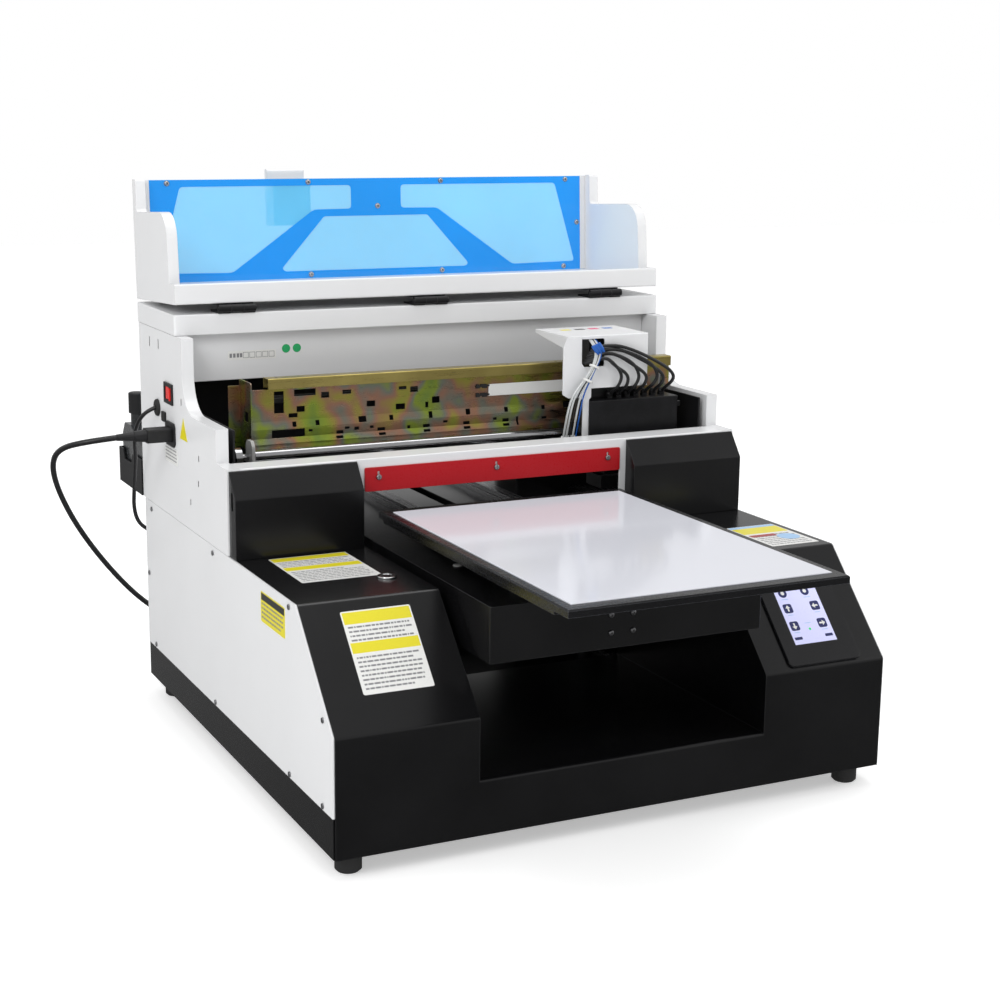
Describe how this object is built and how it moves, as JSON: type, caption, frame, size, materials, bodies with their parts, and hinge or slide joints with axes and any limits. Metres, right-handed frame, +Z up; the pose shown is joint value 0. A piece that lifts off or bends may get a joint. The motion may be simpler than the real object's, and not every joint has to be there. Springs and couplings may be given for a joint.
{
  "type": "flatbed uv printer",
  "caption": "Desktop A3 flatbed UV printer with a sliding platen on a lifting table, a print carriage over it, and a hinged lid with a tinted window, shown open.",
  "frame": {"origin": "on the floor, under the centre of the machine's bounding box measured without its cords", "axes": "+X to the operator's right, +Y from the operator's side to the back, +Z up"},
  "size_m": [0.7919, 0.9653, 0.6676],
  "materials": {
    "white_powder_coat": "glossy",
    "black_gloss": "glossy",
    "black_sheet": "satin",
    "bay_black": "satin",
    "plated_steel": "satin",
    "plated_rail": "satin",
    "roller_chrome": "polished",
    "red_paint": "glossy",
    "white_plate": "glossy",
    "gunmetal_aluminium": "satin",
    "black_aluminium": "satin",
    "machined_aluminium": "satin",
    "ground_steel": "satin",
    "fastener_steel": "satin",
    "blue_window": "glossy",
    "black_plastic": "matte",
    "white_plastic": "glossy",
    "grey_plastic": "matte",
    "gloss_black_plastic": "glossy",
    "foot_rubber": "matte",
    "belt_rubber": "matte",
    "display_glass": "glossy",
    "button_chrome": "polished",
    "rocker_red": "glossy",
    "bottle_plastic": "glossy",
    "cap_plastic": "matte",
    "hose_plastic": "glossy",
    "damper_plastic": "glossy",
    "nozzle_steel": "satin",
    "board_green": "satin",
    "cord_black": "satin"
  },
  "bodies": {
    "machine": {"base_tray": "black_sheet", "feet": "foot_rubber", "front_cover": "black_gloss", "side_panels": "white_powder_coat", "rear_panels": "white_powder_coat", "upper_side_walls": "white_powder_coat", "top_cover": "white_powder_coat", "interior_panel": "white_powder_coat", "front_beam": "white_powder_coat", "red_guard_bar": "red_paint", "cover_screws": "fastener_steel", "shoulder_covers": "black_gloss", "chassis": "bay_black", "carriage_frame": "plated_steel", "carriage_rail": "plated_rail", "roller_bearings": "grey_plastic", "carriage_motor": "black_sheet", "carriage_belt": "belt_rubber", "capping_station": "black_plastic", "lift_guides": "ground_steel", "lift_motors": "black_sheet", "hinge_leaves": "black_sheet", "touchscreen": "gloss_black_plastic", "touchscreen_display": "display_glass", "start_button_ring": "button_chrome", "switch_frame": "black_plastic", "mains_inlet": "black_plastic", "cable_grommets": "foot_rubber", "ink_rack": "black_sheet", "ink_bottles": "bottle_plastic", "bottle_caps": "cap_plastic", "power_supply": "machined_aluminium", "main_board": "board_green", "lead_connector": "black_plastic", "mains_lead": "cord_black", "mains_lead_coil": "cord_black", "mains_plug": "black_plastic", "link_cable": "cord_black"},
    "carriage": {"carriage_cover": "white_powder_coat", "carriage_body": "black_plastic", "damper_block": "damper_plastic", "print_head": "nozzle_steel", "uv_lamp": "black_aluminium", "carriage_hoses": "hose_plastic"},
    "lift": {"table_box": "black_gloss", "table_rails": "ground_steel", "lift_frame": "machined_aluminium"},
    "platen": {"platen_frame": "gunmetal_aluminium", "platen_plate": "white_plate", "platen_carriage": "machined_aluminium"},
    "lid": {"lid_shell": "white_powder_coat", "lid_window": "blue_window", "lid_handle": "white_plastic", "lid_hinge_leaves": "black_sheet"},
    "feed_roller": {"feed_roller": "roller_chrome"},
    "rocker": {"power_rocker": "rocker_red"},
    "button": {"start_button": "button_chrome"},
    "lift_screw_left": {"lift_screw_left": "ground_steel"},
    "lift_screw_right": {"lift_screw_right": "ground_steel"},
    "drive_pulley": {"carriage_drive_pulley": "machined_aluminium"}
  },
  "joints": [
    {"name": "lid_hinge", "type": "hinge", "parent": "machine", "child": "lid", "pos_m": [0, 0.19135, 0.5124], "axis": [1, 0, 0], "range_deg": [0, 183]},
    {"name": "carriage_slide", "type": "slide", "parent": "machine", "child": "carriage", "axis": [-1, 0, 0], "range_m": [0, 0.4]},
    {"name": "lift_slide", "type": "slide", "parent": "machine", "child": "lift", "axis": [0, 0, -1], "range_m": [0, 0.11]},
    {"name": "table_slide", "type": "slide", "parent": "lift", "child": "platen", "axis": [0, 1, 0], "range_m": [0, 0.51]},
    {"name": "feed_roller_spin", "type": "hinge", "parent": "machine", "child": "feed_roller", "pos_m": [0, 0.10135, 0.349], "axis": [1, 0, 0], "continuous": true},
    {"name": "power_rocker_tip", "type": "hinge", "parent": "machine", "child": "rocker", "pos_m": [-0.326, 0.22235, 0.4095], "axis": [0, 0, 1], "range_deg": [0, 12]},
    {"name": "start_button_press", "type": "slide", "parent": "machine", "child": "button", "axis": [0, 0, -1], "range_m": [0, 0.0025], "stiffness_N_per_m": 400},
    {"name": "lift_screw_left_turn", "type": "hinge", "parent": "machine", "child": "lift_screw_left", "pos_m": [-0.262, 0.17335, 0.1], "axis": [0, 0, 1], "range_deg": [0, 3961]},
    {"name": "lift_screw_right_turn", "type": "hinge", "parent": "machine", "child": "lift_screw_right", "pos_m": [0.262, 0.17335, 0.1], "axis": [0, 0, 1], "range_deg": [0, 3961]},
    {"name": "drive_pulley_turn", "type": "hinge", "parent": "machine", "child": "drive_pulley", "pos_m": [0.275, 0.14535, 0.4], "axis": [0, 0, -1], "range_deg": [0, 2600]}
  ],
  "couplings": [
    {"joint": "lift_screw_left_turn", "follows": "lift_slide", "rad_per_m": 628.32},
    {"joint": "lift_screw_right_turn", "follows": "lift_slide", "rad_per_m": 628.32},
    {"joint": "drive_pulley_turn", "follows": "carriage_slide", "rad_per_m": 111.11}
  ]
}
